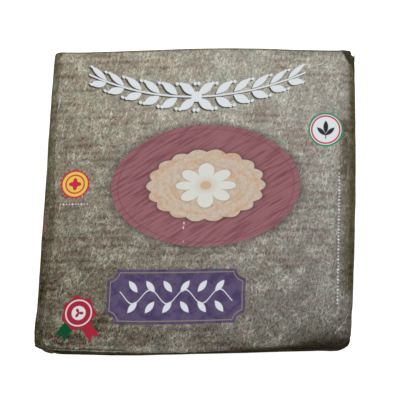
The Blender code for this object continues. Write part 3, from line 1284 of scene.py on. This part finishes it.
def flap_tree(material):
    """Grows one end's flap from a flat grid, down the end and in under the base."""
    tree, size = tree_with("flap of a folded end", FLAP_SIZES)
    halves = [size["Width"] / 2, size["Depth"] / 2, size["Height"] / 2]
    start = Value(tree)
    grid = {"Size X": 1.0, "Size Y": 2.0, "Vertices X": FLAP_ROWS, "Vertices Y": FLAP_ACROSS}
    flap = start.make("GeometryNodeMeshGrid", {}, grid, "Mesh")
    share, across, _ = parted(start.make("GeometryNodeInputPosition"))
    down = size["Start"] + (share + 0.5) * (size["Height"] + size["Under"] - size["Start"])
    over_base = larger(down - size["Height"], 0.0)
    half_width = halves[1] - FLAP_INSET - down
    flap = kept(flap, "edge", "POINT", joined(half_width * (1 - abs(across)), down, over_base))
    x = size["Side"] * (halves[0] - over_base)
    y = size["Side"] * across * half_width
    flap = placed(flap, (x, y, halves[2] - smaller(down, size["Height"])))
    flap = kept(flap, "place", "POINT", start.make("GeometryNodeInputPosition"))
    at = parted(recalled(tree, "place"))
    inside, down, over_base = parted(recalled(tree, "edge"))
    flap = kept(flap, "sheet", "POINT", joined(size["Side"] * (halves[0] + down), at[1], down))
    form = bellied(rounded(at, halves), at, halves, size)
    form[0] = form[0] + ear(at, halves, size)
    loose = FLAP_EDGE_SHARE + (1 - FLAP_EDGE_SHARE) * smooth(inside, 0.0, FLAP_EDGE)
    loose = loose + FLAP_UNEVEN * (cloudy(joined(*at), FLAP_UNEVEN_WIDTH) - 0.5)
    rise = smooth(down, size["Start"], FLAP_CLEAR)
    lift = rise * (size["Lift"] * loose + size["Sunk"]) - size["Sunk"]
    lift = lift + relief(at, halves, size) * smooth(over_base, *FLAP_PRESSED)
    flap = pushed_out(placed(flap, form), lift)
    flap = flap.make("GeometryNodeRemoveAttribute", {}, {"Geometry": flap, "Name": "edge"})
    return finished(tree, flap, material)


end_tree = flap_tree(printed_paper)
flap_left = grown("flap_left", end_tree, {**FLAP_SIZES, "Side": -1.0}, FLAP_THICKNESS)
flap_right = grown("flap_right", end_tree, FLAP_SIZES, FLAP_THICKNESS)


# The pack in its place
# The wrap and its flaps are one pack. They move together, so that they stand on the floor in the
# middle of the place that the frame gives them.

pack = [wrap, flap_left, flap_right]


def settled(pieces):
    """Moves the pieces' meshes so that together they fit the frame's own pack."""
    points = [vertex.co for piece in pieces for vertex in piece.data.vertices]
    low = Vector(min(point[axis] for point in points) for axis in range(3))
    high = Vector(max(point[axis] for point in points) for axis in range(3))
    move = (Vector(node_low) + Vector(node_high) - low - high) / 2
    move.z = node_low[2] - low.z
    for piece in pieces:
        piece.data.transform(Matrix.Translation(move))


settled(pack)
for piece in pack:
    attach(piece, "root")
    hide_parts("wrapped_cheese")


# The studio
# A plain white floor that glows a little, a wide soft light above it, and the camera nearly
# straight above, tilted towards the front of the pack.

FLOOR = 6.0
FLOOR_COLOUR = (0.93, 0.93, 0.93, 1.0)
FLOOR_ROUGHNESS = 0.9
FLOOR_GLOW = 0.50
WHITE = (1.0, 1.0, 1.0, 1.0)
LIGHT_SIZE = 1.8
LIGHT_AT = (0.0, -0.10, 1.6)
LIGHT_POWER = 21.5
SKY = 0.475


def floor():
    """The white floor."""
    mesh = bpy.data.meshes.new("floor")
    half = FLOOR / 2
    corners = [(-half, -half, 0), (half, -half, 0), (half, half, 0), (-half, half, 0)]
    mesh.from_pydata(corners, [], [(0, 1, 2, 3)])
    material = bpy.data.materials.new("floor")
    material.use_nodes = True
    shader = material.node_tree.nodes["Principled BSDF"]
    shader.inputs["Base Color"].default_value = FLOOR_COLOUR
    shader.inputs["Roughness"].default_value = FLOOR_ROUGHNESS
    shader.inputs["Emission Color"].default_value = WHITE
    shader.inputs["Emission Strength"].default_value = FLOOR_GLOW
    mesh.materials.append(material)
    return linked("floor", mesh)


def soft_light():
    """A wide lamp above the pack, and an even sky."""
    lamp = bpy.data.lights.new("soft_light", "AREA")
    lamp.shape = "DISK"
    lamp.size = LIGHT_SIZE
    lamp.energy = LIGHT_POWER
    light = linked("soft_light", lamp)
    light.location = LIGHT_AT
    light.rotation_euler = (-Vector(LIGHT_AT)).to_track_quat("-Z", "Y").to_euler()
    sky = bpy.data.worlds.new("sky")
    sky.use_nodes = True
    background = sky.node_tree.nodes["Background"]
    background.inputs["Color"].default_value = WHITE
    background.inputs["Strength"].default_value = SKY
    bpy.context.scene.world = sky


# The camera: the point that its place is measured from, how far off it is, how it is tilted and
# rolled, how far right of and above that point it aims, and its lens and sensor in millimetres
CAMERA_TARGET = Vector((0.0, 0.0, 0.045))
CAMERA_DISTANCE = 0.650
CAMERA_TILT = math.radians(11.0)
CAMERA_ROLL = math.radians(-0.51)
CAMERA_AIM = (0.00085, -0.0018)
CAMERA_LENS = 91.5
CAMERA_SENSOR = 36.0


def camera():
    """The camera, at the photograph's angle."""
    back = Vector((0, -math.sin(CAMERA_TILT), math.cos(CAMERA_TILT)))
    level = Vector((1, 0, 0))
    rise = back.cross(level)
    right = level * math.cos(CAMERA_ROLL) + rise * math.sin(CAMERA_ROLL)
    up = rise * math.cos(CAMERA_ROLL) - level * math.sin(CAMERA_ROLL)
    place = CAMERA_TARGET + back * CAMERA_DISTANCE
    aim = CAMERA_TARGET + right * CAMERA_AIM[0] + up * CAMERA_AIM[1]
    away = (place - aim).normalized()
    side = up.cross(away).normalized()
    turn = Matrix((side, away.cross(side), away)).transposed()
    data = bpy.data.cameras.new("camera")
    data.lens = CAMERA_LENS
    data.sensor_width = CAMERA_SENSOR
    piece = linked("camera", data)
    piece.matrix_world = Matrix.Translation(place) @ turn.to_4x4()
    bpy.context.scene.camera = piece


floor()
soft_light()
camera()
bpy.context.scene.view_settings.view_transform = "Standard"
